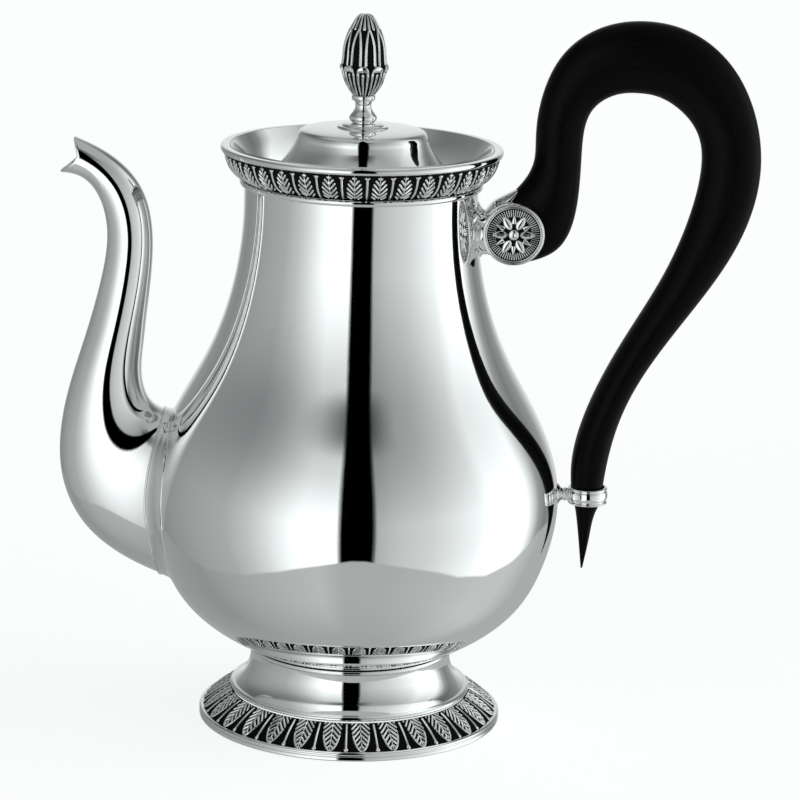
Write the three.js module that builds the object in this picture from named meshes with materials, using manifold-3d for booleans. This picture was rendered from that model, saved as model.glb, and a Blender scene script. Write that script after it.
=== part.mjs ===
// A silver coffee pot: pear-shaped body on a spreading foot, swan-neck spout, ebony loop handle
// and a lift-off lid with a bud finial. Millimetres, +Z up, spout towards -X, handle towards +X.
// While it is built the pot's axis is the Z axis; at the end the group is moved so that the
// origin is the middle of the whole object's footprint.

import * as THREE from "three";
import { mergeVertices } from "three/addons/utils/BufferGeometryUtils.js";
import Module from "manifold-3d";

const wasm = await Module();
wasm.setup();

// ---------------------------------------------------------------- driving dimensions
const HEIGHT = 260; // foot to the top of the finial and of the handle loop
const WALL = 1; // sheet silver
const GAP = 0.3; // between touching pieces
const ROUND = 28; // sides of a large revolved piece
const SMALL_ROUND = 16; // sides of a small revolved piece

const BELLY_R = 74.7;
const BELLY_Z = 83;
const NECK_R = 42;
const BODY_BOTTOM_Z = 28;
const BODY_BOTTOM_R = 37.4;
const NECK_TOP_Z = 198.6;

const FOOT_R = 55.6;
const BASE_RING_H = 2.2;
const FOOT_WAIST_R = 37.2;

const GALLERY_LEAVES = 34;
const GALLERY_LOW = [43.2, 200.8];
const GALLERY_HIGH = [49.6, 210.3];
const LIP_R = 50.8;
const LIP_LOW_Z = 210.7;
const LIP_TOP_Z = 212.8;
const LIP_INNER_R = 46.2;
const LEDGE_Z = 198.4;
const LEDGE_INNER_R = 36.6;
const FOOT_LEAVES = 29;

const LID_R = 39.6;
const LID_TOP_Z = 218.6;
const LID_TOP_R = 21.6;
const STUD_R = 1.4;
const FINIAL_LEAVES = 9;

const SOCKET_X = 54.8;
const SOCKET_Z = 183.8;
const SOCKET_R = 11.1;
const SOCKET_WIDTH = 19;
const SOCKET_BORE_R = 8.4;
const BRACKET_Z = 181.4; // axis of the neck that carries the socket
const ROSETTE_T = 1.6;

const COLLAR_X = 85.3;
const COLLAR_Z = 86.1;
const COLLAR_R = 7.4;
const COLLAR_BORE_R = 6.4;
const COLLAR_H = 5.8;

// ---------------------------------------------------------------- materials
const silver = new THREE.MeshStandardMaterial({ color: 0xd9dbdd, roughness: 0.08, metalness: 1 });
const oxidised = new THREE.MeshStandardMaterial({ color: 0x8d8f91, roughness: 0.32, metalness: 1 });
const ebony = new THREE.MeshStandardMaterial({ color: 0x0c0b0b, roughness: 0.35, metalness: 0 });

// ---------------------------------------------------------------- geometry helpers
function signedVolume(geometry) {
  const p = geometry.attributes.position;
  const index = geometry.index.array;
  const a = new THREE.Vector3();
  const b = new THREE.Vector3();
  const c = new THREE.Vector3();
  let sum = 0;
  for (let i = 0; i < index.length; i += 3) {
    a.fromBufferAttribute(p, index[i]);
    b.fromBufferAttribute(p, index[i + 1]);
    c.fromBufferAttribute(p, index[i + 2]);
    sum += a.dot(b.cross(c));
  }
  return sum / 6;
}

// Merged vertices, positions only, faces pointing out.
function closed(geometry) {
  geometry.deleteAttribute("normal");
  geometry.deleteAttribute("uv");
  const merged = mergeVertices(geometry, 1e-4);
  const index = merged.index.array;
  if (signedVolume(merged) < 0) {
    for (let i = 0; i < index.length; i += 3) {
      [index[i], index[i + 1]] = [index[i + 1], index[i]];
    }
  }
  return merged;
}

function toSolid(geometry) {
  const g = closed(geometry);
  const mesh = new wasm.Mesh({
    numProp: 3,
    vertProperties: new Float32Array(g.attributes.position.array),
    triVerts: new Uint32Array(g.index.array),
  });
  return new wasm.Manifold(mesh);
}

function fromSolid(manifold) {
  const mesh = manifold.getMesh();
  const geometry = new THREE.BufferGeometry();
  geometry.setAttribute("position", new THREE.BufferAttribute(mesh.vertProperties, 3));
  geometry.setIndex(new THREE.BufferAttribute(mesh.triVerts, 1));
  return geometry;
}

// Revolves [radius, height] points about Z.
function revolve(profile, sides = ROUND) {
  const points = profile.map(([r, z]) => new THREE.Vector2(r, z));
  return closed(new THREE.LatheGeometry(points, sides).rotateX(Math.PI / 2));
}

// A closed ring section repeats its first point at the end.
function ring(profile, sides = ROUND) {
  return revolve([...profile, profile[0]], sides);
}

// A smooth run of [radius, height] points through the given ones.
function smooth(points, steps) {
  const curve = new THREE.SplineCurve(points.map(([r, z]) => new THREE.Vector2(r, z)));
  return curve.getPoints(steps).map((p) => [p.x, p.y]);
}


// The same outline moved sideways by a distance, to the left of its direction.
function offset(points, distance) {
  return points.map(([r, z], i) => {
    const [r0, z0] = points[Math.max(i - 1, 0)];
    const [r1, z1] = points[Math.min(i + 1, points.length - 1)];
    const length = Math.hypot(r1 - r0, z1 - z0);
    return [r - ((z1 - z0) / length) * distance, z + ((r1 - r0) / length) * distance];
  });
}

// Pushes every vertex further from the Z axis by an amount that depends on its angle and place.
function flute(geometry, push) {
  const p = geometry.attributes.position;
  for (let i = 0; i < p.count; i += 1) {
    const x = p.getX(i);
    const y = p.getY(i);
    const r = Math.hypot(x, y);
    const k = r > 1e-6 ? (r + push(Math.atan2(y, x), r, p.getZ(i))) / r : 1;
    p.setXY(i, x * k, y * k);
  }
  return geometry;
}

// Joins rings of equal length: to a closed loop of rings, or to a rod with flat ends.
function loft(rings, loop) {
  const n = rings[0].length;
  const positions = rings.flat().flatMap((v) => [v.x, v.y, v.z]);
  const index = [];
  const last = loop ? rings.length : rings.length - 1;
  for (let i = 0; i < last; i += 1) {
    const a = i * n;
    const b = ((i + 1) % rings.length) * n;
    for (let j = 0; j < n; j += 1) {
      const k = (j + 1) % n;
      index.push(a + j, a + k, b + k, a + j, b + k, b + j);
    }
  }
  if (!loop) {
    for (const [start, flip] of [[0, true], [(rings.length - 1) * n, false]]) {
      for (let j = 1; j < n - 1; j += 1) {
        index.push(start, start + (flip ? j + 1 : j), start + (flip ? j : j + 1));
      }
    }
  }
  const geometry = new THREE.BufferGeometry();
  geometry.setAttribute("position", new THREE.Float32BufferAttribute(positions, 3));
  geometry.setIndex(index);
  return closed(geometry);
}

// A section across the plane y = 0: its two edge points there, and its thickness along Y.
function sections(stations, steps) {
  const pick = (a, b, c) => new THREE.CatmullRomCurve3(
    stations.map((s) => new THREE.Vector3(s[a], s[b], c === undefined ? 0 : s[c])),
  );
  const outer = pick(0, 1, 4);
  const inner = pick(2, 3);
  const out = [];
  for (let i = 0; i <= steps; i += 1) {
    const o = outer.getPoint(i / steps);
    const q = inner.getPoint(i / steps);
    out.push({ outer: [o.x, o.y], inner: [q.x, q.y], depth: o.z });
  }
  return out;
}

function ellipseRing({ outer, inner, depth }, sides, thinner = 0) {
  const cx = (outer[0] + inner[0]) / 2;
  const cz = (outer[1] + inner[1]) / 2;
  const hx = (outer[0] - inner[0]) / 2;
  const hz = (outer[1] - inner[1]) / 2;
  const half = Math.hypot(hx, hz);
  const k = (half - thinner) / half;
  const points = [];
  for (let j = 0; j < sides; j += 1) {
    const a = (2 * Math.PI * j) / sides;
    const c = Math.cos(a) * k;
    points.push(new THREE.Vector3(cx + hx * c, (depth / 2 - thinner) * Math.sin(a), cz + hz * c));
  }
  return points;
}

function rodX(radius, x0, x1, z, sides) {
  return new THREE.CylinderGeometry(radius, radius, x1 - x0, sides)
    .rotateZ(Math.PI / 2)
    .translate((x0 + x1) / 2, 0, z);
}

function rodY(radius, width, x, z, sides) {
  return new THREE.CylinderGeometry(radius, radius, width, sides).translate(x, 0, z);
}

// ---------------------------------------------------------------- outlines
// Outside of the pear, from the foot joint up to the neck.
const pearOutside = smooth(
  [
    [BODY_BOTTOM_R, BODY_BOTTOM_Z],
    [49.6, 34.8],
    [63.2, 47],
    [71.2, 64],
    [BELLY_R, BELLY_Z],
    [72.6, 98],
    [64.6, 117.3],
    [54.4, 136],
    [46.9, 156],
    [43.2, 174],
    [NECK_R, 188],
    [NECK_R, NECK_TOP_Z],
  ],
  20,
);

// Solid of the pear, grown by a distance, for fitting pieces against the wall.
function pearSolid(grow) {
  const grown = offset(pearOutside, -grow);
  return toSolid(revolve([[0, grown[0][1]], ...grown, [0, grown[grown.length - 1][1]]]));
}

// Spout: lower edge x z, upper edge x z, thickness along Y.
const SPOUT = [
  [-62, 50, -62, 113, 52],
  [-80, 56.6, -72.6, 115.3, 39],
  [-97.2, 69, -77.2, 122, 32.5],
  [-106.6, 88, -78.2, 130, 29],
  [-106.3, 113, -77.6, 138, 25.5],
  [-99.2, 139, -76.4, 150, 22],
  [-92.8, 163, -74.7, 167, 18],
  [-91, 180, -75, 183, 16],
  [-94.6, 193, -80.4, 198, 14.4],
  [-100.6, 199, -91.3, 208, 12.6],
  [-107.9, 200.4, -105.4, 214.4, 11],
];
const SPOUT_WALL = 1.1;
const SPOUT_LIP_CUT = { x: -109.4, z: 208.4, r: 8 };

// Handle: outer edge x z, inner edge x z, thickness along Y.
const HANDLE = [
  [52.6, 195.6, 51.5, 169.4, 15],
  [57.9, 201.4, 71, 177.2, 16],
  [61.6, 210, 77.9, 198, 16],
  [62.1, 224, 78.8, 219, 16],
  [70, 246.7, 83.8, 230.3, 17],
  [84.5, 257.6, 91, 233.9, 18],
  [98.9, HEIGHT, 97.6, 234.4, 18.5],
  [113.5, 257.4, 105, 233.2, 18.5],
  [132.2, 242.8, 116.2, 225.3, 18],
  [143.2, 212, 121.3, 210, 17.5],
  [137.7, 185.2, 118.2, 191.5, 16.5],
  [121.5, 157.5, 108.2, 166, 16.8],
  [104.7, 133, 93.2, 139, 17],
  [95.2, 112, 82.3, 114, 16],
  [91.4, 94, 78.9, 94.5, 12.8],
  [90.9, 90, 79.1, 90, 11.8],
];
// Below the collar the wood steps in and runs out to a point.
const HANDLE_TAIL = [
  [90.6, 87.6, 79.7, 87.6, 10.8],
  [90.3, 83.4, 80.4, 83.4, 9.8],
  [89, 79.8, 81.4, 79.8, 8],
  [86.9, 70.6, 82.6, 70.6, 4.8],
  [84.5, 58.2, 83.9, 58.2, 0.8],
];

// ---------------------------------------------------------------- body
function makeBodyShell() {
  const outside = pearOutside;
  const inside = offset(outside, WALL).filter((point, i) => i % 2 === 0);
  const floorIn = BODY_BOTTOM_Z + WALL;
  const profile = [
    [0, BODY_BOTTOM_Z],
    ...outside,
    ...inside.reverse().filter(([, z]) => z > floorIn + 1),
    [BODY_BOTTOM_R - 2, floorIn],
    [0, floorIn],
  ];
  let shell = toSolid(revolve(profile));
  // Strainer: rows of holes pierced in the wall behind the spout.
  const holeR = 2;
  const pitch = 7.5;
  for (let row = -2; row <= 2; row += 1) {
    const count = 4 - Math.abs(row) + (row === 0 ? -1 : 0);
    for (let i = 0; i < count; i += 1) {
      const y = (i - (count - 1) / 2) * pitch;
      const z = 84 + row * pitch;
      shell = shell.subtract(toSolid(rodX(holeR, -90, -55, z, 8).translate(0, y, 0)));
    }
  }
  return fromSolid(shell);
}

function makeNeckBead() {
  const r = NECK_R + GAP;
  return ring([[r, 198.4], [r + 1.1, 198.6], [r + 1.5, 199.5], [r + 1.2, 200.4], [r, 200.5]]);
}

// Upright leaves with rods between, on a band that leans outwards.
function makeGallery() {
  const [r0, z0] = GALLERY_LOW;
  const [r1, z1] = GALLERY_HIGH;
  const thick = 1.6;
  const band = ring(
    [[r0, z0], [(r0 + r1) / 2 + 0.7, (z0 + z1) / 2], [r1, z1], [r1 - thick, z1], [r0 - 0.9, z0]],
    GALLERY_LEAVES * 2,
  );
  const middle = (z0 + z1) / 2;
  return flute(band, (angle, r, z) => {
    const face = r > r0 + ((z - z0) / (z1 - z0)) * (r1 - r0) - 0.9;
    return face && Math.abs(z - middle) < 2 ? 0.35 + 0.35 * Math.cos(GALLERY_LEAVES * angle) : 0;
  });
}

function makeLip() {
  const low = LIP_LOW_Z;
  const top = LIP_TOP_Z;
  return ring([
    [LIP_INNER_R, low],
    [LIP_R - 0.4, low],
    [LIP_R, low + 0.5],
    [LIP_R, top - 0.5],
    [LIP_R - 0.6, top],
    [LIP_INNER_R + 0.4, top],
    [LIP_INNER_R, top - 0.4],
  ]);
}

// The concave funnel inside the rim and the ledge that carries the lid.
function makeLidWell() {
  const wall = smooth([[LIP_INNER_R - GAP, LIP_LOW_Z - GAP], [42.4, 205], [40.6, LEDGE_Z + 1.5]], 4);
  const back = offset(wall, WALL).reverse();
  const inR = LEDGE_INNER_R;
  return ring([
    ...wall,
    [40.2, LEDGE_Z],
    [inR, LEDGE_Z],
    [inR, LEDGE_Z - 1.2],
    [NECK_R - WALL - GAP, LEDGE_Z - 1.2],
    [NECK_R - WALL - GAP, NECK_TOP_Z + 0.5],
    ...back.slice(1),
  ]);
}

// ---------------------------------------------------------------- foot
function makeFootJoint() {
  const r = BODY_BOTTOM_R;
  return ring([[r - 3, 26.4], [r + 0.2, 26.4], [r + 0.6, 27], [r + 0.2, 27.7], [r - 3, 27.7]]);
}

function pedestalOutside() {
  return smooth([[FOOT_WAIST_R, 26.1], [36.7, 23.2], [37.9, 18.8], [39.6, 15.8], [42, 12.6]], 6);
}

function makePedestal() {
  const outside = pedestalOutside();
  const inside = offset(outside, -WALL).reverse();
  return ring([...outside, [42, 11.4], [40.8, 11.4], ...inside]);
}

// The rounded ring that the trumpet ends in.
function makeFootBead() {
  const innerR = 42 + GAP;
  return ring([[innerR, 11.4], [43.9, 11.4], [44.1, 11.9], [43.6, 12.6], [innerR, 12.9]]);
}

// Leaves that lie on the spreading edge, tips outwards.
function makeFootLeaves() {
  const outside = [[43.8, 11], [48.2, 8.3], [51.9, 5.4], [FOOT_R - 0.5, 2.6]];
  const band = ring(
    [...outside, [FOOT_R - 3, 2.6], [49.8, 4.9], [46.2, 7.6], [42.4, 9.9], [42.4, 11]],
    FOOT_LEAVES * 2,
  );
  return flute(band, (angle, r, z) => {
    const onFace = r > 47.6 && r < 52.2 && z > 6.9 - (r - 48.2) * 0.75;
    return onFace ? 0.35 + 0.35 * Math.cos(FOOT_LEAVES * angle) : 0;
  });
}

function makeBaseRing() {
  const h = BASE_RING_H;
  return ring([[FOOT_R - 4, 0], [FOOT_R - 0.5, 0], [FOOT_R, 0.6], [FOOT_R - 0.2, h], [FOOT_R - 4, h]]);
}

// ---------------------------------------------------------------- spout
function makeSpout() {
  const along = sections(SPOUT, 18);
  const sides = 14;
  const outside = along.map((s) => ellipseRing(s, sides));
  const inside = along.map((s) => ellipseRing(s, sides, SPOUT_WALL)).reverse();
  const cut = SPOUT_LIP_CUT;
  const shell = toSolid(loft([...outside, ...inside], true))
    .subtract(pearSolid(3))
    .subtract(toSolid(rodY(cut.r, 40, cut.x, cut.z, 24)));
  return fromSolid(shell);
}

// The low ring soldered to the body, where the spout's root sits, with a flange that spreads sideways.
function makeSpoutCollar() {
  const along = sections(SPOUT.slice(0, 4), 6);
  const sides = 24;
  const inside = along.map((s) => ellipseRing(s, sides, SPOUT_WALL)).reverse();
  const upright = along.map((s) => ellipseRing(s, sides, -0.35));
  const spread = along.map((s) => ellipseRing({ ...s, depth: s.depth * 1.3 }, sides, -0.35));
  const band = toSolid(loft([...upright, ...inside], true)).intersect(pearSolid(2.7));
  const flange = toSolid(loft([...spread, ...inside], true)).intersect(pearSolid(1));
  return fromSolid(band.add(flange).subtract(pearSolid(GAP)));
}

// ---------------------------------------------------------------- handle and its mounts
// The shoulder that runs from the socket up along the wood to a point.
function tonguePlate(grow) {
  const shape = new THREE.Shape([
    new THREE.Vector2(44.8 - grow, 187 - grow),
    new THREE.Vector2(45.3 - grow, 192 + grow),
    new THREE.Vector2(50.3 - grow, 195.6 + grow),
    new THREE.Vector2(56.4, 199.1 + grow),
    new THREE.Vector2(57 + grow, 199.1 + grow),
    new THREE.Vector2(56.4 + grow, 195.4),
    new THREE.Vector2(55.6 + grow, 189.6),
  ]);
  const width = 14 + 2 * grow;
  return new THREE.ExtrudeGeometry(shape, { depth: width, bevelEnabled: false })
    .rotateX(Math.PI / 2)
    .translate(0, width / 2, 0);
}

function tenonBlock(grow) {
  const length = 22;
  return new THREE.BoxGeometry(length, 8 + 2 * grow, 7 + 2 * grow)
    .translate(length / 2 - 3, 0, 0)
    .rotateY(-Math.PI / 8)
    .translate(SOCKET_X, 0, SOCKET_Z);
}

// A silver drum lying across, open at both faces, with a window for the wood's tenon.
function makeSocket() {
  const drum = toSolid(rodY(SOCKET_R, SOCKET_WIDTH, SOCKET_X, SOCKET_Z, 28));
  const bore = toSolid(rodY(SOCKET_BORE_R, SOCKET_WIDTH + 2, SOCKET_X, SOCKET_Z, 28));
  return fromSolid(drum.add(toSolid(tonguePlate(0))).subtract(bore).subtract(toSolid(tenonBlock(GAP))));
}

// Round cap with a domed centre and petals, closing one face of the socket.
function makeRosette(side) {
  const petals = 12;
  const plug = 2;
  const disc = ring(
    [
      [0.5, -plug],
      [SOCKET_BORE_R - GAP, -plug],
      [SOCKET_BORE_R - GAP, GAP],
      [SOCKET_R, GAP],
      [SOCKET_R, ROSETTE_T - 0.5],
      [SOCKET_R - 0.6, ROSETTE_T],
      [SOCKET_R - 1.4, ROSETTE_T - 0.7],
      [6, ROSETTE_T - 0.5],
      [2.2, ROSETTE_T],
      [0.5, ROSETTE_T + 0.4],
    ],
    petals * 2,
  );
  const p = disc.attributes.position;
  for (let i = 0; i < p.count; i += 1) {
    const r = Math.hypot(p.getX(i), p.getY(i));
    if (r > 5 && r < 7) {
      p.setZ(i, p.getZ(i) + 0.3 * Math.cos(petals * Math.atan2(p.getY(i), p.getX(i))));
    }
  }
  return disc.rotateX(side * -Math.PI / 2).translate(SOCKET_X, (side * SOCKET_WIDTH) / 2, SOCKET_Z);
}

// Short flared neck between the body and the socket.
function makeBracket() {
  const profile = [[0, 38], [8.2, 38], [8.2, 42.7], [7.2, 43.7], [6.8, 45], [7.2, 46.4], [7.2, 50], [0, 50]];
  const neck = toSolid(revolve(profile, 24).rotateY(Math.PI / 2).translate(0, 0, BRACKET_Z));
  const socket = toSolid(rodY(SOCKET_R + GAP, SOCKET_WIDTH + 4, SOCKET_X, SOCKET_Z, 28));
  return fromSolid(neck.subtract(pearSolid(GAP)).subtract(socket).subtract(toSolid(tonguePlate(GAP))));
}

function makeHandle() {
  const sides = 12;
  const grip = sections(HANDLE, 24).map((s) => ellipseRing(s, sides));
  const tail = HANDLE_TAIL.map(([ox, oz, ix, iz, depth]) =>
    ellipseRing({ outer: [ox, oz], inner: [ix, iz], depth }, sides));
  const pinHole = toSolid(rodY(1.5 + GAP, 30, SOCKET_X + 2, SOCKET_Z + 1, 12));
  const dowelHole = toSolid(rodX(1 + GAP, 74, 86.4, COLLAR_Z - 0.6, 10));
  const wood = toSolid(loft([...grip, ...tail], false))
    .subtract(toSolid(rodY(SOCKET_R + GAP, 40, SOCKET_X, SOCKET_Z, 28)))
    .subtract(toSolid(tonguePlate(GAP)))
    .add(toSolid(tenonBlock(0)).intersect(toSolid(rodY(SOCKET_R + 6, 30, SOCKET_X, SOCKET_Z, 28))))
    .subtract(pinHole)
    .subtract(dowelHole);
  const pieces = wood.decompose();
  pieces.sort((a, b) => b.volume() - a.volume());
  return fromSolid(pieces[0]);
}

function makeSocketPin() {
  return closed(rodY(1.5, SOCKET_WIDTH - 5, SOCKET_X + 2, SOCKET_Z + 1, 12));
}

function makeLowerCollar() {
  const h = COLLAR_H / 2;
  const band = toSolid(
    ring(
      [
        [COLLAR_BORE_R, -h],
        [COLLAR_R - 0.5, -h],
        [COLLAR_R - 0.2, -h + 0.9],
        [COLLAR_R, 0],
        [COLLAR_R - 0.2, h - 0.9],
        [COLLAR_R - 0.5, h],
        [COLLAR_BORE_R, h],
      ],
      24,
    ).translate(COLLAR_X, 0, COLLAR_Z),
  );
  const dowelHole = toSolid(rodX(1 + GAP, 74, 86.4, COLLAR_Z - 0.6, 10));
  return fromSolid(band.subtract(dowelHole));
}

// The knuckle that carries the collar off the body.
function makeLowerLink() {
  const z = COLLAR_Z - 0.6;
  const profile = [[0, 70], [4.2, 70], [3.8, 75], [2.5, 76.2], [3.1, 77], [2.5, 77.8], [3.2, 79], [3.2, 84], [0, 84]];
  const knuckle = toSolid(revolve(profile, 16).rotateY(Math.PI / 2).translate(0, 0, z));
  const collar = toSolid(
    new THREE.CylinderGeometry(COLLAR_R + GAP, COLLAR_R + GAP, 14, 24)
      .rotateX(Math.PI / 2)
      .translate(COLLAR_X, 0, COLLAR_Z),
  );
  const dowelHole = toSolid(rodX(1 + GAP, 75.6, 86.4, z, 10));
  const fitted = knuckle.subtract(pearSolid(GAP)).subtract(collar).subtract(dowelHole);
  return fromSolid(fitted);
}

function makeDowel() {
  return closed(rodX(1, 76, 86, COLLAR_Z - 0.6, 10));
}

// ---------------------------------------------------------------- lid and finial
function lidOutside() {
  return [
    [STUD_R + GAP, LID_TOP_Z],
    [12, LID_TOP_Z - 0.2],
    [LID_TOP_R - 1, LID_TOP_Z - 0.8],
    [LID_TOP_R + 0.4, LID_TOP_Z - 1.8],
    [LID_TOP_R + 1, LID_TOP_Z - 3.6],
    ...smooth([[24.6, 210.6], [28.2, 205.8], [33, 202.2], [LID_R - 1.2, 200.4]], 4),
    [LID_R, 200],
  ];
}

function makeLidCover() {
  const outside = lidOutside();
  const inside = offset(outside, -WALL).reverse();
  inside[inside.length - 1] = [STUD_R + GAP, LID_TOP_Z - WALL];
  return ring([...outside, [LID_R, 198.8], ...inside.slice(1)]);
}

function makeLidBezel() {
  const r = LEDGE_INNER_R - GAP;
  return ring([[r - 1.1, 192], [r, 192], [r, 199], [r - 1.1, 199.3]]);
}

function makeFinialBase() {
  const z = LID_TOP_Z + GAP;
  const r = STUD_R + GAP;
  return ring([[r, z], [9.2, z], [9.4, z + 0.7], [8.6, z + 1.4], [6, z + 2], [r, z + 2.2]], 24);
}

function makeFinialStem() {
  const r = STUD_R + GAP;
  return ring(
    [
      [r, 221.4],
      [4.4, 221.4],
      [5, 222.8],
      [3.7, 224.9],
      [2.8, 227.1],
      [3.2, 229],
      [4.1, 229.8],
      [4.1, 230.8],
      [3.3, 231.4],
      [r, 231.4],
    ],
    SMALL_ROUND,
  );
}

// Two tiers of upright leaves under a fluted cap.
function makeFinialBud() {
  const r = STUD_R + GAP;
  const bud = revolve(
    [
      [0, 238.3],
      [r, 238.3],
      [r, 231.7],
      [3.9, 231.7],
      [6.1, 234.7],
      [7.6, 238],
      [8.3, 240.4],
      [8.4, 241.6],
      [7.6, 243],
      [7.3, 246],
      [6.7, 250.8],
      [5.2, 254.4],
      [3.4, 257.8],
      [2, 259.4],
      [0, HEIGHT],
    ],
    FINIAL_LEAVES * 2,
  );
  return flute(bud, (angle, radius, z) => {
    const lower = z > 233 && z < 242.5;
    const upper = z > 242.5 && z < 256;
    const wave = Math.cos(FINIAL_LEAVES * angle);
    if (radius < 3) {
      return 0;
    }
    return lower ? 0.5 * wave : upper ? -0.4 * wave : 0;
  });
}

function makeFinialStud() {
  return closed(new THREE.CylinderGeometry(STUD_R, STUD_R, 26.6, 12).rotateX(Math.PI / 2).translate(0, 0, 224.6));
}

function makeFinialWasher() {
  const r = STUD_R + GAP;
  const top = LID_TOP_Z - WALL - GAP - 0.1;
  return ring([[r, top - 0.9], [4.4, top - 0.9], [4.4, top], [r, top]], 16);
}

function makeFinialNut() {
  const r = STUD_R + GAP;
  const top = LID_TOP_Z - WALL - 2 * GAP - 1.1;
  return ring([[r, top - 2.4], [3.2, top - 2.4], [3.2, top], [r, top]], 6);
}

// ---------------------------------------------------------------- the pot
const pieces = [
  ["body_shell", makeBodyShell(), silver],
  ["neck_bead", makeNeckBead(), silver],
  ["rim_gallery", makeGallery(), oxidised],
  ["rim_lip", makeLip(), silver],
  ["lid_well", makeLidWell(), silver],
  ["foot_joint_ring", makeFootJoint(), silver],
  ["foot_pedestal", makePedestal(), silver],
  ["foot_bead", makeFootBead(), silver],
  ["foot_leaf_border", makeFootLeaves(), oxidised],
  ["foot_base_ring", makeBaseRing(), silver],
  ["spout", makeSpout(), silver],
  ["spout_collar", makeSpoutCollar(), silver],
  ["handle_bracket", makeBracket(), silver],
  ["handle_socket", makeSocket(), silver],
  ["rosette_near", makeRosette(-1), oxidised],
  ["rosette_far", makeRosette(1), oxidised],
  ["socket_pin", makeSocketPin(), silver],
  ["handle", makeHandle(), ebony],
  ["lower_collar", makeLowerCollar(), silver],
  ["lower_link", makeLowerLink(), silver],
  ["collar_dowel", makeDowel(), silver],
  ["lid_cover", makeLidCover(), silver],
  ["lid_bezel", makeLidBezel(), silver],
  ["finial_base", makeFinialBase(), silver],
  ["finial_stem", makeFinialStem(), silver],
  ["finial_bud", makeFinialBud(), oxidised],
  ["finial_stud", makeFinialStud(), silver],
  ["finial_washer", makeFinialWasher(), silver],
  ["finial_nut", makeFinialNut(), silver],
];

const pot = new THREE.Group();
for (const [name, geometry, material] of pieces) {
  const mesh = new THREE.Mesh(geometry, material);
  mesh.name = name;
  pot.add(mesh);
}

// The origin goes under the middle of the whole object.
const middle = new THREE.Box3().setFromObject(pot).getCenter(new THREE.Vector3());
pot.position.x = -middle.x;

export default pot;
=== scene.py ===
"""A mirror-polished silver coffee pot with an ebony loop handle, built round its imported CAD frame.

Shapes are worked out in millimetres with the pot's axis as the Z axis, spout towards -X and handle
towards +X, and are put into the frame in metres by build().
"""

import math

import bmesh
import bpy
import numpy as np
from mathutils import Matrix, Vector


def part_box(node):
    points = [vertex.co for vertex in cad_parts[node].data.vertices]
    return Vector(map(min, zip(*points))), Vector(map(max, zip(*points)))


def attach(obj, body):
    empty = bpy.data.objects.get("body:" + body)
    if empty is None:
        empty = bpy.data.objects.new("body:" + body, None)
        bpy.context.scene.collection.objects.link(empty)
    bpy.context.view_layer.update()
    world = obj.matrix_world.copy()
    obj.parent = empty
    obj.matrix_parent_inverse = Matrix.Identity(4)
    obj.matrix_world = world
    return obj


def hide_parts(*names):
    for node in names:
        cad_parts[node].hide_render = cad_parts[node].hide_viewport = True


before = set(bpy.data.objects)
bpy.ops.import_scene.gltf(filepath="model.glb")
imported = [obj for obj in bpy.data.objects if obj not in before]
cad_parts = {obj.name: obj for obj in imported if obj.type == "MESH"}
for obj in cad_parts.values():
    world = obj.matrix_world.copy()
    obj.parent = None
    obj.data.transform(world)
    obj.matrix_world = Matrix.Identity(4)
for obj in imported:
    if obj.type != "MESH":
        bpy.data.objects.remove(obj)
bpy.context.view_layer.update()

MM = 0.001
foot_low, foot_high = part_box("foot_base_ring")
AXIS_X = (foot_low.x + foot_high.x) / 2
TAU = 2 * math.pi

# ------------------------------------------------------------------ dimensions, millimetres
WALL = 1.0
ROUND = 240  # columns of a large turned surface
SMALL_ROUND = 96  # and of a small one
CREASE = 38  # degrees; sharper edges are shaded as edges
SAME_PLACE = 2e-6  # metres; vertices nearer to each other than this become one
NO_LENGTH = 1e-7  # metres; shorter edges are dropped

# Profiles turned about the pot's axis are lists of (radius, height). In a list for rounded(), a
# third number is that corner's own radius.
PEAR = [
    (37.4, 28), (49.6, 34.8), (63.2, 47), (71.2, 64), (74.6, 83), (72.6, 98), (64.6, 117.3),
    (54.4, 136), (46.9, 156), (43.2, 174), (42, 188), (42, 198.6),
]
STRAINER_Z = 84
STRAINER_HOLE_R = 2.0
STRAINER_LINES = [(-2, 2), (-1, 3), (0, 3), (1, 3), (2, 2)]  # line above the middle, holes in it
CELL = 4  # faces across the square cell round one hole

GALLERY_LEAVES = 34
GALLERY = [(43.2, 200.8), (46.5, 203.2), (48.5, 206.5), (49.6, 210.3)]
FOOT_LEAVES = 29
FOOT_BORDER = [(43.8, 11.1), (48.2, 8.5), (51.8, 5.8), (54.7, 3.2)]

STUD_HOLE_R = 1.7  # up through the lid's top and the finial
BUD_BOTTOM_Z, TOP_Z = 231.6, 260
BUD_LOW_Z, BUD_LOW_H = 231.7, 10.7  # the lower tier of leaves
BUD_HIGH_Z, BUD_HIGH_H = 241, 14.6  # the upper tier
BUD_CAP_Z = 254.6
FINIAL_LEAVES = 9

SOCKET_X, SOCKET_Z, SOCKET_R, SOCKET_WIDTH = 54.8, 183.8, 11.1, 19
ROSETTE_REEDS = 66
BRACKET_Z = 181.7  # the neck between the body and the socket
COLLAR_X, COLLAR_Z, COLLAR_H = 85.3, 86.1, 6.2
LINK_Z = 86.1  # the knuckle between the body and the collar

# lower edge x z, upper edge x z, thickness along Y
SPOUT = [
    (-62, 50, -62, 113, 52), (-80, 56.6, -72.6, 115.3, 39), (-97.2, 69, -77.2, 122, 32.5),
    (-106.6, 88, -78.2, 130, 29), (-106.3, 113, -77.6, 138, 25.5), (-99.2, 139, -76.4, 150, 22),
    (-92.8, 163, -74.7, 167, 18), (-91, 180, -75, 183, 16), (-94.6, 193, -80.4, 198, 14.4),
    (-100.6, 199, -91.3, 208, 12.6), (-107.9, 200.4, -105.4, 214.4, 11),
]
SPOUT_COLUMNS, SPOUT_ROWS = 120, 170
SPOUT_WALL = 0.9
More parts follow.
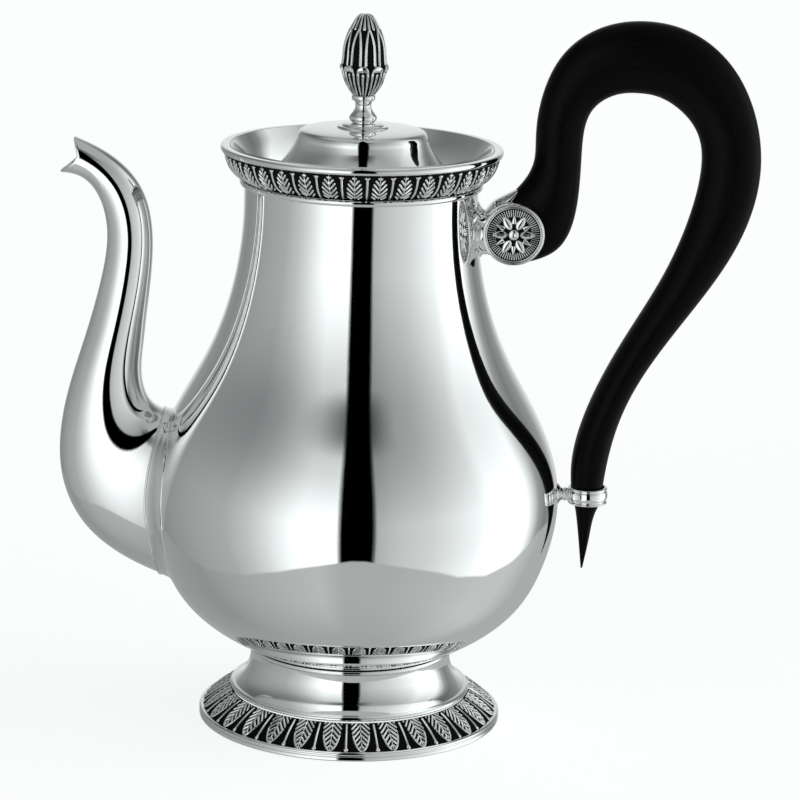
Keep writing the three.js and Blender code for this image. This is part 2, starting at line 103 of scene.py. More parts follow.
# x z of the line the pouring mouth is cut along, from below up
SPOUT_LIP = [
    (-108.2, 199.9), (-105.2, 202.3), (-102.6, 204.7), (-101.3, 207.2), (-101.8, 209.8),
    (-102.6, 213.4), (-103.4, 217),
]
MOUTH_EDGE = [(0.1, 0.12), (0.3, 0.2), (0.6, 0.2), (0.8, 0.12)]  # into the wall, past the cut

# outer edge x z, inner edge x z, thickness along Y
HANDLE = [
    (52.6, 195.6, 53.2, 170.8, 15), (57.9, 201.4, 71, 177.2, 16), (61.6, 210, 77.9, 198, 16),
    (62.1, 224, 78.8, 219, 16), (70, 246.7, 83.8, 230.3, 17), (84.5, 257.6, 91, 233.9, 18),
    (98.9, 260, 97.6, 234.4, 18.5), (113.5, 257.4, 105, 233.2, 18.5), (132.2, 242.8, 116.2, 225.3, 18),
    (142.5, 212, 121.3, 210, 17.5), (137.7, 185.2, 118.2, 191.5, 16.5), (121.5, 157.5, 108.2, 166, 16.8),
    (104.7, 133, 93.2, 139, 17), (95.2, 112, 82.3, 114, 16), (91.4, 94, 78.9, 94.5, 12.8),
    (90.9, 90, 79.1, 90, 11.8),
]
HANDLE_TAIL = [
    (90.6, 87.6, 79.7, 87.6, 10.8), (90, 83.4, 80.5, 83.4, 9.6), (88.6, 79.8, 81.2, 79.8, 8),
    (86.7, 70.6, 82.5, 70.6, 4.6), (84.5, 58.2, 83.9, 58.2, 0.8),
]


# ------------------------------------------------------------------ curves
def spline(points):
    """A natural cubic curve through the points: a function from 0..1 to places on it."""
    p = np.array(points, float)
    x = np.concatenate([[0], np.cumsum(np.linalg.norm(np.diff(p, axis=0), axis=1))])
    x /= x[-1]
    n, h = len(x), np.diff(x)
    a, b = np.eye(n), np.zeros_like(p)
    slope = np.diff(p, axis=0) / h[:, None]
    for i in range(1, n - 1):
        a[i, i - 1:i + 2] = h[i - 1], 2 * (h[i - 1] + h[i]), h[i]
        b[i] = 6 * (slope[i] - slope[i - 1])
    m = np.linalg.solve(a, b)

    def at(t):
        t = np.asarray(t, float)
        i = np.clip(np.searchsorted(x, t) - 1, 0, n - 2)
        d, w = (t - x[i])[..., None], h[i][..., None]
        c = slope[i] - w * (2 * m[i] + m[i + 1]) / 6
        return p[i] + c * d + m[i] * d * d / 2 + (m[i + 1] - m[i]) * d ** 3 / (6 * w)

    return at


def curve(points, count):
    """Evenly spaced places on the natural curve through the points."""
    dense = spline(points)(np.linspace(0, 1, 1200))
    return respace(dense, count)


def respace(path, count):
    """Evenly spaced places along a path."""
    s = np.concatenate([[0], np.cumsum(np.linalg.norm(np.diff(path, axis=0), axis=1))])
    even = np.linspace(0, s[-1], count)
    return np.stack([np.interp(even, s, path[:, k]) for k in range(path.shape[1])], 1)


def soften(path, reach):
    """Evens out the curvature of an open path, keeping its ends."""
    k = np.exp(-0.5 * (np.arange(-3 * reach, 3 * reach + 1) / reach) ** 2)
    k /= k.sum()
    pad = 3 * reach
    out = []
    for column in path.T:
        before = 2 * column[0] - column[pad:0:-1]
        after = 2 * column[-1] - column[-2:-pad - 2:-1]
        out.append(np.convolve(np.concatenate([before, column, after]), k, "valid"))
    return np.stack(out, 1)


def sideways(path):
    """Unit vectors to the right of a path's direction: outwards for a wall that runs up."""
    d = np.gradient(path, axis=0)
    n = np.stack([d[:, 1], -d[:, 0]], 1)
    return n / np.linalg.norm(n, axis=1)[:, None]


def rounded(corners, radius, steps=5):
    """A closed outline with its corners rounded; a corner's third number is its own radius."""
    most = 0.48  # of a side's length, so that two roundings never meet
    out = []
    n = len(corners)
    for i, corner in enumerate(corners):
        here = np.array(corner[:2], float)
        r = corner[2] if len(corner) > 2 else radius
        if r == 0:
            out.append(here)
            continue
        before = np.array(corners[i - 1][:2], float) - here
        after = np.array(corners[(i + 1) % n][:2], float) - here
        lb, la = np.linalg.norm(before), np.linalg.norm(after)
        a = here + before / lb * min(r, most * lb)
        b = here + after / la * min(r, most * la)
        for t in np.linspace(0, 1, steps):
            out.append((1 - t) ** 2 * a + 2 * t * (1 - t) * here + t * t * b)
    return np.array(out)


# ------------------------------------------------------------------ meshes
def grid(points, loop_rows=False, loop_columns=False, skip=None):
    """Vertices and four-sided faces of rows x columns points."""
    rows, columns = points.shape[:2]
    index = np.arange(rows * columns).reshape(rows, columns)
    if loop_columns:
        index = np.concatenate([index, index[:, :1]], 1)
    if loop_rows:
        index = np.concatenate([index, index[:1]], 0)
    quads = np.stack([index[:-1, :-1], index[:-1, 1:], index[1:, 1:], index[1:, :-1]], -1)
    if skip is not None:
        quads = quads[~skip]
    return points.reshape(-1, 3), quads.reshape(-1, 4)


def about_axis(r, angle, z):
    """Points at a radius and an angle about the pot's axis, and at a height."""
    return np.stack([r * np.cos(angle), r * np.sin(angle), z + 0 * r * angle], -1)


def turned(profile, columns=ROUND):
    """The points of a profile of (radius, height) turned about the pot's axis."""
    profile = np.asarray(profile, float)
    return about_axis(profile[:, :1], np.arange(columns) * TAU / columns, profile[:, 1:])


def join(*parts):
    """Several (vertices, faces) as one."""
    vertices, faces, start = [], [], 0
    for v, f in parts:
        vertices.append(v)
        faces.append(f + start)
        start += len(v)
    return np.concatenate(vertices), np.concatenate(faces)


def build(name, shape, body, material, slot, *nodes, relief=None, grain=None, crease=CREASE):
    """Makes one piece of the pot from (vertices, faces) and puts it on its CAD body.

    relief is how high each vertex stands in chased work, 0 to 1; grain is where it is in the
    wood, in millimetres with the grain along Z.
    """
    vertices, faces = shape
    placed = vertices * MM + np.array([AXIS_X, 0, 0])
    mesh = bpy.data.meshes.new(name)
    mesh.from_pydata(placed.tolist(), [], faces.tolist())
    if relief is not None:
        mesh.attributes.new("relief", "FLOAT", "POINT").data.foreach_set(
            "value", np.asarray(relief, np.float32).ravel())
    if grain is not None:
        mesh.attributes.new("grain", "FLOAT_VECTOR", "POINT").data.foreach_set(
            "vector", np.asarray(grain, np.float32).ravel())
    bm = bmesh.new()
    bm.from_mesh(mesh)
    bmesh.ops.remove_doubles(bm, verts=bm.verts, dist=SAME_PLACE)
    bmesh.ops.dissolve_degenerate(bm, edges=bm.edges, dist=NO_LENGTH)
    bmesh.ops.recalc_face_normals(bm, faces=bm.faces)
    bm.to_mesh(mesh)
    bm.free()
    mesh.polygons.foreach_set("use_smooth", [True] * len(mesh.polygons))
    mesh.set_sharp_from_angle(angle=math.radians(crease))
    mesh.materials.append(material)
    piece = bpy.data.objects.new(name, mesh)
    bpy.context.scene.collection.objects.link(piece)
    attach(piece, body)
    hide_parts(*nodes)
    return piece


# ------------------------------------------------------------------ materials
class Graph:
    """Short names for building a node tree."""

    def __init__(self, tree):
        self.tree = tree
        tree.nodes.clear()

    def node(self, kind, inputs=None, **settings):
        n = self.tree.nodes.new(kind)
        for key, value in settings.items():
            setattr(n, key, value)
        for key, value in (inputs or {}).items():
            if isinstance(value, bpy.types.NodeSocket):
                self.tree.links.new(value, n.inputs[key])
            else:
                n.inputs[key].default_value = value
        return n

    def math(self, operation, a, b=0.0, clamp=False):
        return self.node("ShaderNodeMath", {0: a, 1: b}, operation=operation, use_clamp=clamp).outputs[0]

    def ramp(self, value, stops, smooth=False):
        """Shades at places from 0 to 1: a shade is a grey number or a colour."""
        n = self.node("ShaderNodeValToRGB", {0: value})
        n.color_ramp.interpolation = "EASE" if smooth else "LINEAR"
        marks = n.color_ramp.elements
        while len(marks) < len(stops):
            marks.new(0.5)
        for mark, (place, shade) in zip(marks, stops):
            mark.position = place
            mark.color = (shade, shade, shade, 1) if isinstance(shade, float) else (*shade, 1)
        return n.outputs[0]

    def blend(self, kind, a, b):
        return self.mix(1.0, a, b, kind)

    def mix(self, factor, a, b, kind="MIX"):
        """Mixes two colours; a mix node's sockets 6 and 7 are its colours."""
        n = self.node("ShaderNodeMix", data_type="RGBA", blend_type=kind)
        for socket, value in ((n.inputs[0], factor), (n.inputs[6], a), (n.inputs[7], b)):
            if isinstance(value, bpy.types.NodeSocket):
                self.tree.links.new(value, socket)
            else:
                socket.default_value = value if isinstance(value, float) else (*value, 1)
        return n.outputs[2]

    def noise(self, where, scale, detail=2.0, roughness=0.5):
        inputs = {"Vector": where, "Scale": scale, "Detail": detail, "Roughness": roughness}
        return self.node("ShaderNodeTexNoise", inputs).outputs["Fac"]

    def stretch(self, where, scale):
        return self.node("ShaderNodeMapping", {"Vector": where, "Scale": scale}).outputs[0]

    def bump(self, height, strength, distance):
        return self.node("ShaderNodeBump", {
            "Strength": strength, "Distance": distance, "Height": height}).outputs[0]

    def surface(self, **inputs):
        """A principled shader, its inputs named with underscores for spaces, as the result."""
        shader = self.node("ShaderNodeBsdfPrincipled", {
            key.replace("_", " "): value for key, value in inputs.items()})
        self.node("ShaderNodeOutputMaterial", {"Surface": shader.outputs[0]})


def new_material(name):
    material = bpy.data.materials.new(name)
    material.use_nodes = True
    return material, Graph(material.node_tree)


def silver_surface(g, where):
    """Colour, roughness and normal of hand-polished silver: faint buffing lines and soft waviness."""
    lines = g.noise(g.stretch(where, (900, 900, 60)), 1.0, 3.0, 0.6)
    cloud = g.noise(where, 45.0, 3.0)
    wear = g.math("ADD", g.math("MULTIPLY", lines, 0.6), g.math("MULTIPLY", cloud, 0.4))
    roughness = g.ramp(wear, [(0.3, 0.018), (0.7, 0.05)])
    colour = g.mix(cloud, (0.945, 0.95, 0.95), (0.975, 0.975, 0.97))
    return colour, roughness, g.bump(lines, 0.012, 0.0002)


def silver_material():
    material, g = new_material("polished_silver")
    where = g.node("ShaderNodeTexCoord").outputs["Object"]
    colour, roughness, normal = silver_surface(g, where)
    g.surface(Base_Color=colour, Roughness=roughness, Normal=normal, Metallic=1.0)
    return material


def oxidised_material():
    """Chased relief: bright where it was buffed, black where the oxide stayed in the ground."""
    material, g = new_material("oxidised_silver")
    where = g.node("ShaderNodeTexCoord").outputs["Object"]
    height = g.node("ShaderNodeAttribute", attribute_name="relief").outputs["Fac"]
    mottle = g.noise(where, 900.0, 3.0, 0.6)
    worn = g.math("ADD", height, g.math("MULTIPLY", g.math("SUBTRACT", mottle, 0.5), 0.22))
    bright = g.ramp(worn, [(0.32, 0.0), (0.55, 1.0)], smooth=True)
    colour, polish, _ = silver_surface(g, where)
    ground = g.mix(mottle, (0.001, 0.001, 0.0012), (0.008, 0.008, 0.009))
    dull = g.ramp(mottle, [(0.3, 0.5), (0.7, 0.75)])
    g.surface(Base_Color=g.mix(bright, ground, colour),
              Roughness=g.mix(bright, dull, g.math("ADD", polish, 0.06)),
              Metallic=bright, Normal=g.bump(mottle, 0.25, 0.0001), Specular_IOR_Level=0.06)
    return material


def ebony_material():
    """Almost black wood, oiled and rubbed, with fine streaks and short pores along the grain."""
    material, g = new_material("ebony")
    along = g.node("ShaderNodeAttribute", attribute_name="grain").outputs["Vector"]
    streak = g.noise(g.stretch(along, (1.0, 1.0, 0.05)), 1.1, 4.0, 0.65)
    pore = g.noise(g.stretch(along, (4.5, 4.5, 0.35)), 1.0, 2.0, 0.5)
    pores = g.ramp(pore, [(0.3, 1.0), (0.38, 0.0)])
    colour = g.ramp(streak, [(0.25, (0.0008, 0.0007, 0.0007)), (0.6, (0.002, 0.0017, 0.0015)),
                             (0.8, (0.006, 0.0042, 0.003))])
    rubbed = g.ramp(streak, [(0.2, 0.3), (0.8, 0.42)])
    roughness = g.math("ADD", rubbed, g.math("MULTIPLY", pores, 0.2))
    relief = g.math("SUBTRACT", g.math("MULTIPLY", streak, 0.4), pores)
    g.surface(Base_Color=colour, Roughness=roughness, Normal=g.bump(relief, 0.18, 0.0002),
              Specular_IOR_Level=0.07)
    return material


SILVER = silver_material()
OXIDISED = oxidised_material()
EBONY = ebony_material()


def silver_piece(name, shape, body, *nodes, crease=CREASE):
    return build(name, shape, body, SILVER, "silver", *nodes, crease=crease)


def turned_piece(name, outline, body, *nodes, columns=ROUND):
    """A silver ring or bowl turned from a closed outline of (radius, height)."""
    return silver_piece(name, grid(turned(outline, columns), True, True), body, *nodes)


# ------------------------------------------------------------------ body
BODY_ROWS = 103
pear = respace(soften(curve(PEAR, 800), 14), BODY_ROWS)
pear_normal = sideways(pear)
pear_inside = pear - WALL * pear_normal


def pear_radius(z):
    return np.interp(z, pear[:, 1], pear[:, 0])


def clear_of_pear(p):
    """How far points lie outside the pear's wall."""
    out = np.interp(p[..., 2], pear[:, 1], pear_normal[:, 0])
    return (np.hypot(p[..., 0], p[..., 1]) - pear_radius(p[..., 2])) * out


def wall_point(wall, column, row):
    """A place on the outer or inner wall, between its rows and columns."""
    rows = np.arange(BODY_ROWS)
    r, z = np.interp(row, rows, wall[:, 0]), np.interp(row, rows, wall[:, 1])
    return about_axis(r, column * TAU / ROUND, z)


def strainer():
    """The pierced cells behind the spout: which faces they take, and their own faces."""
    middle_row = int(round(np.interp(STRAINER_Z, pear[:, 1], np.arange(BODY_ROWS))))
    column_step = TAU * pear_radius(STRAINER_Z) / ROUND
    row_step = np.linalg.norm(pear[middle_row + 1] - pear[middle_row])
    taken = np.zeros((BODY_ROWS - 1, ROUND), bool)
    half = CELL // 2
    edge = [(i, -half) for i in range(-half, half)] + [(half, i) for i in range(-half, half)]
    edge = np.array(edge + [(-a, -b) for a, b in edge], float)
    angle = np.arctan2(edge[:, 1], edge[:, 0])
    hole = np.stack([np.cos(angle) / column_step, np.sin(angle) / row_step], 1) * STRAINER_HOLE_R
    parts = []
    for line, count in STRAINER_LINES:
        for i in range(count):
            column = ROUND // 2 + int((i - (count - 1) / 2) * CELL)
            row = middle_row + CELL * line
            taken[row - half:row + half, column - half:column + half] = True
            loops = []
            for wall, spread in ((pear, 1), (pear, 0), (pear_inside, 0), (pear_inside, 1)):
                ring = hole + spread * (edge - hole)
                loops.append(wall_point(wall, column + ring[:, 0], row + ring[:, 1]))
            parts.append(grid(np.array(loops), False, True))
    return taken, parts


def make_body():
    """The raised body, one wall out and in, with its flat bottom and the holes behind the spout."""
    taken, holes = strainer()
    base = [(r, pear[0, 1]) for r in (0, 12, 25)]
    floor = [(r, pear[0, 1] + WALL) for r in (24, 12, 0)]
    inside = pear_inside[::-1].copy()
    inside[-1] = (pear[0, 0] - 1.6, pear[0, 1] + WALL)
    profile = np.concatenate([base, pear, inside, floor])
    skip = np.zeros((len(profile) - 1, ROUND), bool)
    first = len(base)
    skip[first:first + BODY_ROWS - 1] = taken
    skip[first + BODY_ROWS:first + 2 * BODY_ROWS - 1] = taken[::-1]
    shell = grid(turned(profile), False, True, skip)
    silver_piece("pear_body", join(shell, *holes), "pot", "body_shell")


make_body()


# ------------------------------------------------------------------ rim and foot mouldings
def make_rim():
    turned_piece("neck_moulding", rounded(
        [(42.3, 198.4), (43.3, 198.4, 0.6), (43.8, 199.5, 0.8), (43.4, 200.5, 0.6), (42.3, 200.5)], 0.2),
        "pot", "neck_bead")
    turned_piece("rim_edge", rounded(
        [(47.1, 210.7), (50.4, 210.6, 0.5), (50.8, 211.7, 0.8), (50.3, 212.8, 0.6), (47.8, 212.8, 0.5),
         (47.1, 212.3, 0.5)], 0.2, 7), "pot", "rim_lip")
    wall = curve([(47.1, 212.4), (45.6, 210.2), (43.6, 207.2), (42, 204.2), (41, 201.6), (40.6, 199.4)], 28)
    back = (wall + WALL * sideways(wall))[::-1]
    seat = [(40.3, 198.7), (39.7, 198.4), (38.6, 198.35), (36.9, 198.35), (36.6, 198.1), (36.6, 197.2),
            (40.7, 197.2), (40.7, 199.1)]
    outline = np.concatenate([wall, seat, back[1:]])
    turned_piece("lid_well_lining", outline[::-1], "pot", "lid_well")


def make_foot():
    turned_piece("foot_joint", rounded(
        [(34.4, 26.4), (37.6, 26.4, 0.3), (38, 27, 0.5), (37.6, 27.7, 0.3), (34.4, 27.7)], 0.2),
        "pot", "foot_joint_ring")
    flare = curve([(37.2, 26.2), (36.75, 23.2), (37.4, 19.4), (38.7, 16.4), (40.4, 14.3), (42.4, 12.9)], 36)
    outside = flare[::-1]
    inside = (outside - WALL * sideways(outside))[::-1]
    bottom = [(40.9, 11.4), (42.2, 11.4)]
    turned_piece("foot_trumpet", np.concatenate([bottom, outside, inside]), "pot", "foot_pedestal")
    turned_piece("foot_ring", rounded(
        [(42.3, 11.2), (43.9, 11.1, 0.3), (44.2, 11.8, 0.6), (43.6, 12.7, 0.6), (42.3, 13.0, 0.3)], 0.3, 7),
        "pot", "foot_bead")
    turned_piece("foot_edge", rounded(
        [(51.6, 0), (55.1, 0, 0.3), (55.5, 0.5, 0.4), (55.2, 1.6, 0.3), (54.6, 1.85, 0.15), (55.4, 2.2, 0.3),
         (55.5, 2.9, 0.4), (54.8, 3.4, 0.3), (51.6, 3.1)], 0.2, 6), "pot", "foot_base_ring")


make_rim()
make_foot()


# ------------------------------------------------------------------ chased leaf borders
def ease(x):
    """0 to 1 as x goes from 0 to 1, level at both ends."""
    x = np.clip(x, 0, 1)
    return x * x * (3 - 2 * x)


def inside_of(edge, soft):
    """1 inside an outline and 0 outside, from the distance to it."""
    return ease(edge / soft + 0.5)


def ridge(distance, half_width):
    """A half-round rib: 1 along its middle and 0 past its half width."""
    return np.sqrt(np.clip(1 - (distance / half_width) ** 2, 0, 1))


def leaf_half_width(b, widest, at, tip, power):
    """A leaf's half width along its length, rounding off above its widest place."""
    above = np.clip((b - at) / (tip - at), 0, 1)
    below = np.clip((at - b) / max(at, 1e-6), 0, 1)
    return widest * np.clip(1 - above ** power, 0, 1) ** 0.5 * (1 - 0.14 * below ** 2)


def chased_leaf(a, b, half_width, lobes, slant, rib):
    """Height of a veined leaf: a runs across (0 on the midrib), b from base to tip."""
    phase = (b - slant * a) * lobes
    lobe = 0.5 - 0.5 * np.cos(TAU * phase)
    body = inside_of(half_width * (0.93 + 0.07 * lobe) - a, 0.08)
    blade = body * lobe ** 1.1
    spine = body * ridge(a, rib)
    return np.maximum(blade * inside_of(a - rib * 1.15, 0.05), spine)


def off_midrib(leaves, columns):
    """For each column round a ring of leaves: 0 on a midrib, 1 between two leaves."""
    return np.abs((np.arange(leaves * columns) % columns) / columns * 2 - 1)


def border(name, node, path, height_of, leaves, columns, rows, depth, back, turn):
    """A ring of relief: height_of(a, b, across, along) is 0 on the ground and 1 at the crest.

    a is off_midrib and b goes up the path from 0 to 1; across is half a leaf's pitch and along is
    the path's length. columns belong to one leaf, depth and back are how far below the crest the
    ground and the hidden side lie, and turn is in degrees.
    """
    crest = curve(path, rows)
    out = sideways(crest)
    count = leaves * columns
    angle = np.arange(count) * TAU / count + math.radians(turn)
    along = np.linalg.norm(np.diff(crest, axis=0), axis=1).sum()
    across = TAU * crest[:, 0].mean() / leaves / 2
    a, b = np.meshgrid(off_midrib(leaves, columns), np.linspace(0, 1, rows))
    h = np.clip(height_of(a, b, across, along), 0, 1)
    r = crest[:, :1] - out[:, :1] * depth * (1 - h)
    z = crest[:, 1:] - out[:, 1:] * depth * (1 - h)
    step = max(rows // 6, 1)
    behind = (crest[::step] - back * out[::step])[::-1]
    points = np.concatenate([about_axis(r, angle, z), about_axis(behind[:, :1], angle, behind[:, 1:])])
    relief = np.concatenate([h, np.ones((len(behind), count))])
    build(name, grid(points, True, True), "pot", OXIDISED, "oxidised_silver", node,
          relief=relief, crease=180)


def gallery_height(a, b, across, along):
    """Plain broad leaves, with a rod between each two that flares at its top."""
    width = leaf_half_width(b, widest=0.63, at=0.22, tip=0.95, power=3.0)
    leaf = chased_leaf(a, b, width, lobes=5.2, slant=0.5, rib=0.05) * inside_of(b - 0.03, 0.02)
    flare = 0.085 + 0.17 * np.clip((b - 0.84) / 0.1, 0, 1)
    rod = ridge(1 - a, flare) * inside_of(0.94 - b, 0.02)
    return np.maximum(leaf, rod)


def foot_height(a, b, across, along):
    """Rimmed leaves pointing down, with a rod between each two that ends in a ball."""
    b = 1 - b
    width = leaf_half_width(b, widest=0.68, at=0.1, tip=0.95, power=1.7)
    leaf = chased_leaf(a, b, width, lobes=5.8, slant=0.5, rib=0.045) * inside_of(b - 0.03, 0.02)
    rim = ridge(a - (width - 0.045), 0.06) * ease((b - 0.35) / 0.2) * (width > 0.06)
    to_rod = 1 - a
    rod = ridge(to_rod, 0.068) * inside_of(0.9 - b, 0.04) * inside_of(b - 0.06, 0.03)
    ball = ridge(np.hypot(to_rod * across, (b - 0.9) * along), 0.78)
    outer_line = ridge(1 - b, 0.03)
    return np.maximum.reduce([leaf, rim, rod, ball, outer_line])


border("rim_leaf_band", "rim_gallery", GALLERY, gallery_height, GALLERY_LEAVES,
       columns=32, rows=56, depth=0.7, back=1.5, turn=-90 - 2.1 + 180 / GALLERY_LEAVES)
border("foot_leaf_band", "foot_leaf_border", FOOT_BORDER[::-1], foot_height, FOOT_LEAVES,
       columns=38, rows=64, depth=0.7, back=1.6, turn=-90)


# ------------------------------------------------------------------ spout
SEAM_CLEAR = 3.0  # from the body's wall to the beaded edge at the spout's root
FLANGE_SPREAD = 1.26  # depth of the flange on the body, as a multiple of the spout's
spout_line = spline(SPOUT)


def spout_points(t, angle, spread=1.0):
    """Places a share t along the spout and an angle round it; 0 is its lower edge."""
    s = spout_line(t)
    lower, upper, half_depth = s[..., 0:2], s[..., 2:4], s[..., 4] / 2 * spread
    centre, half = (lower + upper) / 2, (lower - upper) / 2
    c = np.cos(angle)
    return np.stack([centre[..., 0] + half[..., 0] * c, half_depth * np.sin(angle),
                     centre[..., 1] + half[..., 1] * c], -1)


def surface_normals(p):
    """Outward unit normals of rows x columns points, closed round the columns."""
    down = np.gradient(p, axis=0)
    around = np.roll(p, -1, axis=1) - np.roll(p, 1, axis=1)
    n = np.cross(down, around)
    n /= np.linalg.norm(n, axis=2)[..., None]
    middle = p.mean(axis=1, keepdims=True)
    return n * np.sign(((p - middle) * n).sum(axis=(1, 2), keepdims=True))


def where_clear(angle, distance, spread=1.0):
    """For each angle, how far along the spout its outside is that distance from the body."""
    t = np.linspace(0, 0.45, 900)
    gap = clear_of_pear(spout_points(t[:, None], angle, spread)) - distance
    last = len(t) - 1 - np.argmax(gap[::-1] < 0, axis=0)
    i = np.arange(len(angle))
    g0, g1 = gap[last, i], gap[last + 1, i]
    return t[last] + (t[last + 1] - t[last]) * g0 / (g0 - g1)


def ring_outwards(here, ahead):
    """Unit vectors along a ring's tube and straight out of its side."""
    along = ahead - here
    along /= np.linalg.norm(along, axis=1)[:, None]
    sweep = np.roll(here, -1, axis=0) - np.roll(here, 1, axis=0)
    out = np.cross(along, sweep)
    out /= np.linalg.norm(out, axis=1)[:, None]
    out *= np.sign(((here - here.mean(axis=0)) * out).sum(axis=1))[:, None]
    return along, out


def make_spout_tube(angle):
    """The swan neck, from inside its beaded root to the mouth cut along SPOUT_LIP."""
    start = where_clear(angle, SEAM_CLEAR - 0.3)
    lip_x, lip_z = np.array(SPOUT_LIP).T
    t = np.linspace(0.75, 1, 1200)
    near_mouth = spout_points(t[:, None], angle)
    beyond = near_mouth[..., 0] - np.interp(near_mouth[..., 2], lip_z, lip_x) < 0
    end = np.where(beyond.any(axis=0), t[np.argmax(beyond, axis=0)], 1.0)
    s = np.linspace(0, 1, SPOUT_ROWS)[:, None]
    outside = spout_points(start + (end - start) * s, angle)
    normal = surface_normals(outside)
    ahead = outside[-1] - outside[-2]
    ahead /= np.linalg.norm(ahead, axis=1)[:, None]
    lip = [outside[-1] - normal[-1] * inwards + ahead * past for inwards, past in MOUTH_EDGE]
    inside = (outside - normal * SPOUT_WALL)[::-1]
    points = np.concatenate([outside, lip, inside])
    silver_piece("spout_tube", grid(points, True, True), "pot", "spout", crease=60)


def make_spout_root(angle):
    """A beaded edge round the spout's root, and a concave flange from there down to the body."""
    sides = 14
    root = where_clear(angle, SEAM_CLEAR)
    edge = spout_points(root, angle)
    along, out = ring_outwards(edge, spout_points(root + 0.004, angle))
    turn = np.arange(sides) * TAU / sides
    bead = [edge + along * 0.6 * math.cos(q) + out * 0.68 * math.sin(q) for q in turn]
    corner = spout_points(where_clear(angle, 0.2), angle)
    foot = spout_points(where_clear(angle, 0.0, FLANGE_SPREAD), angle, FLANGE_SPREAD)
    steps = np.linspace(0, 1, sides)[:, None, None]
    flange = (1 - steps) ** 2 * edge + 2 * steps * (1 - steps) * corner + steps ** 2 * foot
    flange = flange + out * 0.3
    buried = [spout_points(where_clear(angle, -0.6, spread), angle, spread) - out * 0.4
              for spread in (FLANGE_SPREAD, 1.13, 1.0)]
    skirt = np.array([*flange, *buried, edge - out * 0.6])
    silver_piece("spout_root", join(grid(np.array(bead), True, True), grid(skirt, True, True)),
                 "pot", "spout_collar")


spout_angle = np.arange(SPOUT_COLUMNS) * TAU / SPOUT_COLUMNS
make_spout_tube(spout_angle)
make_spout_root(spout_angle)


# ------------------------------------------------------------------ handle, socket and collar
def loft(stations, sides, square=2.0):
    """Rings round pairs of edge points; square above 2 makes the section boxier."""
    s = np.asarray(stations, float)[:, None, :]
    angle = np.arange(sides) * TAU / sides
    power = 2 / square
    c = np.sign(np.cos(angle)) * np.abs(np.cos(angle)) ** power
    d = np.sign(np.sin(angle)) * np.abs(np.sin(angle)) ** power
    centre, half = (s[..., 0:2] + s[..., 2:4]) / 2, (s[..., 0:2] - s[..., 2:4]) / 2
    x, z = centre[..., 0] + half[..., 0] * c, centre[..., 1] + half[..., 1] * c
    return np.stack([x, s[..., 4] / 2 * d, z], -1)


def capped(points):
    """A lofted rod closed at both ends."""
    first, last = points[0].mean(axis=0), points[-1].mean(axis=0)
    start = [first + 0 * points[0], (first + points[0]) / 2]
    end = [(last + points[-1]) / 2, last + 0 * points[-1]]
    return np.array([*start, *points, *end])


def make_handle():
    """The wooden loop and its pointed tail, in one, with the place in its grain at each point."""
    grip = spline(HANDLE)(np.linspace(0, 1, 220))
    tail = spline(HANDLE_TAIL)(np.linspace(0, 1, 40))
    stations = np.concatenate([grip, tail])
    sides = 64
    points = capped(loft(stations, sides, square=2.25))
    middle = points.mean(axis=1)
    travel = np.concatenate([[0], np.cumsum(np.linalg.norm(np.diff(middle, axis=0), axis=1))])
    angle = np.arange(sides) * TAU / sides
    radius = np.linalg.norm(points - middle[:, None], axis=2)
    grain = np.stack([radius * np.cos(angle), radius * np.sin(angle),
                      travel[:, None] + 0 * angle], -1).reshape(-1, 3)
    build("handle_wood", grid(points, False, True), "pot", EBONY, "ebony", "handle", grain=grain)


def turned_about_y(profile, columns=SMALL_ROUND):
    """A profile of (radius, y) turned about the socket's cross axis."""
    p = turned(profile, columns)
    return np.stack([p[..., 0] + SOCKET_X, p[..., 2], p[..., 1] + SOCKET_Z], -1)


def turned_about_x(profile, z, columns=SMALL_ROUND):
    """A profile of (radius, x) turned about a line along X at a height."""
    p = turned(profile, columns)
    return np.stack([p[..., 2], p[..., 0], p[..., 1] + z], -1)


def make_socket():
    half = SOCKET_WIDTH / 2
    drum = rounded([(8.4, -half), (SOCKET_R, -half, 0.5), (SOCKET_R - 0.05, 0, 2), (SOCKET_R, half, 0.5),
                    (8.4, half)], 0.3)
    shoulder = spline([(45, 191.2, 46.8, 182, 12), (47.6, 194.1, 49.7, 185.5, 11),
                       (50.6, 195.9, 53, 189.5, 9.5), (53.9, 197.7, 55.8, 193.6, 8),
                       (57, 199.3, 57.2, 198.6, 5)])(np.linspace(0, 1, 40))
    shoulder = capped(loft(shoulder, 64, square=2.6))
    silver_piece("socket_drum", join(grid(turned_about_y(drum), True, True), grid(shoulder, False, True)),
                 "pot", "handle_socket")

    profile = rounded([(0, 39), (8.2, 39), (8.2, 42.5, 0.4), (7.3, 43.2, 0.6), (7.0, 44.3, 0.6),
                       (7.2, 44.9, 0.3), (7.0, 45.6, 0.6), (7.4, 46.6, 0.6), (7.4, 50), (0, 50)], 0.2)
    neck = turned_about_x(profile, BRACKET_Z)
    # The neck's first few millimetres follow the wall, which stands at this radius behind it.
    wall_r = 42.3
    wall = np.sqrt(np.maximum(pear_radius(neck[..., 2]) ** 2 - neck[..., 1] ** 2, 0))
    neck[..., 0] += (wall - wall_r) * np.clip((46 - neck[..., 0]) / 3, 0, 1)
    web = spline([(38.6, 199.2, 39.6, 184, 13), (41.6, 195.2, 41.6, 184, 11.5), (43.6, 191.4, 43.4, 184, 11),
                  (46.2, 190.6, 46.2, 184, 11.5)])(np.linspace(0, 1, 30))
    web = capped(loft(web, 48))
    silver_piece("socket_neck", join(grid(neck, True, True), grid(web, False, True)), "pot",
                 "handle_bracket")


